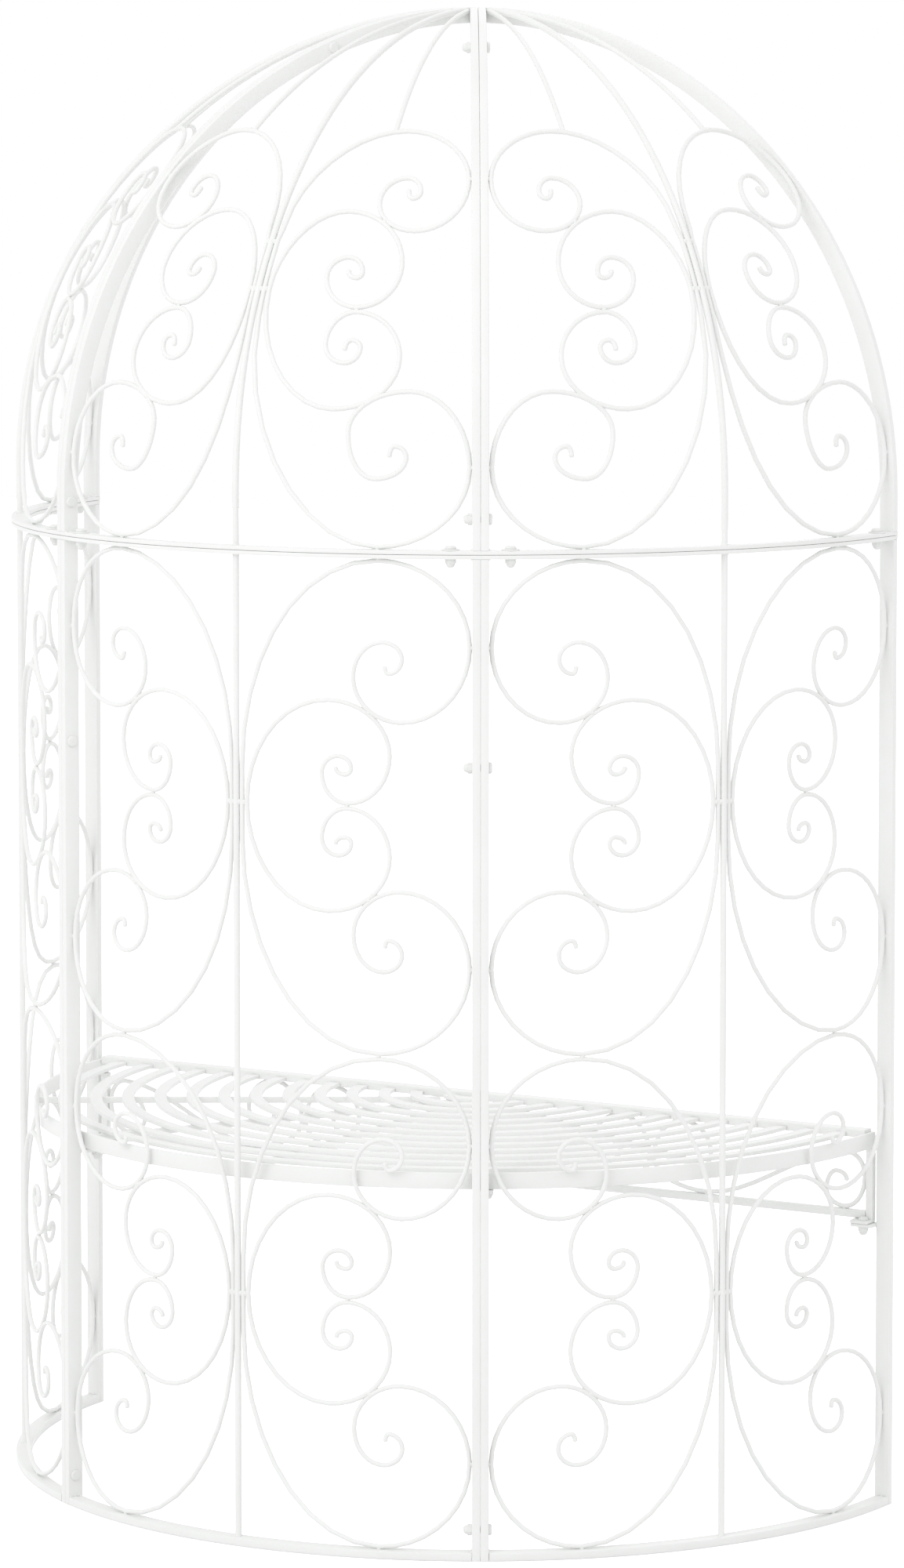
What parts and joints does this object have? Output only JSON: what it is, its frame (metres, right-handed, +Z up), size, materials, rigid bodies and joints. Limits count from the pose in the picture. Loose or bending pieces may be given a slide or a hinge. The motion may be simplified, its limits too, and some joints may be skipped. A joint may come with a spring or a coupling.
{
  "type": "garden arbour seat",
  "caption": "Half-round domed garden arbour of welded steel scrollwork panels bolted together, open at the front, with a slatted half-round seat and a scrolled apron.",
  "frame": {"origin": "middle of the footprint's bounding box, on the ground", "axes": "+Z up; +Y towards the back of the half-round, away from the open front; +X towards the right-hand wall as seen by someone outside who looks in through the open front"},
  "size_m": [1.2, 0.5998, 1.8747],
  "materials": {
    "coated_steel": "satin white powder coat",
    "bolt_steel": "satin white coated bolts and cap nuts"
  },
  "bodies": {
    "root": {"right_wall_stile_a": "coated_steel", "right_wall_scrolls_a": "coated_steel", "right_roof_rib_a": "coated_steel", "right_rail_bolt_a": "bolt_steel", "right_wall_stile_b": "coated_steel", "right_wall_scrolls_b": "coated_steel", "right_roof_rib_b": "coated_steel", "right_rail_bolt_b": "bolt_steel", "right_wall_bottom_rail": "coated_steel", "right_wall_top_rail": "coated_steel", "right_wall_centre_bar": "coated_steel", "right_roof_rail": "coated_steel", "right_roof_scrollwork": "coated_steel", "rear_wall_stile_a": "coated_steel", "rear_wall_scrolls_a": "coated_steel", "rear_roof_rib_a": "coated_steel", "rear_rail_bolt_a": "bolt_steel", "rear_wall_stile_b": "coated_steel", "rear_wall_scrolls_b": "coated_steel", "rear_roof_rib_b": "coated_steel", "rear_rail_bolt_b": "bolt_steel", "rear_wall_bottom_rail": "coated_steel", "rear_wall_top_rail": "coated_steel", "rear_wall_centre_bar": "coated_steel", "rear_roof_rail": "coated_steel", "rear_roof_scrollwork": "coated_steel", "left_wall_stile_a": "coated_steel", "left_wall_scrolls_a": "coated_steel", "left_roof_rib_a": "coated_steel", "left_rail_bolt_a": "bolt_steel", "left_wall_stile_b": "coated_steel", "left_wall_scrolls_b": "coated_steel", "left_roof_rib_b": "coated_steel", "left_rail_bolt_b": "bolt_steel", "left_wall_bottom_rail": "coated_steel", "left_wall_top_rail": "coated_steel", "left_wall_centre_bar": "coated_steel", "left_roof_rail": "coated_steel", "left_roof_scrollwork": "coated_steel", "seat_rim": "coated_steel", "seat_front_bar": "coated_steel", "seat_slats": "coated_steel", "apron_lower_bar": "coated_steel", "apron_right_end": "coated_steel", "apron_right_scrolls": "coated_steel", "seat_front_bolt_right": "bolt_steel", "apron_left_end": "coated_steel", "apron_left_scrolls": "coated_steel", "seat_front_bolt_left": "bolt_steel", "right_joint_bolt_wall_foot": "bolt_steel", "right_joint_bolt_wall_middle": "bolt_steel", "right_joint_bolt_roof_foot": "bolt_steel", "right_joint_bolt_roof_top": "bolt_steel", "seat_rear_bolt_right": "bolt_steel", "left_joint_bolt_wall_foot": "bolt_steel", "left_joint_bolt_wall_middle": "bolt_steel", "left_joint_bolt_roof_foot": "bolt_steel", "left_joint_bolt_roof_top": "bolt_steel", "seat_rear_bolt_left": "bolt_steel"}
  },
  "joints": []
}
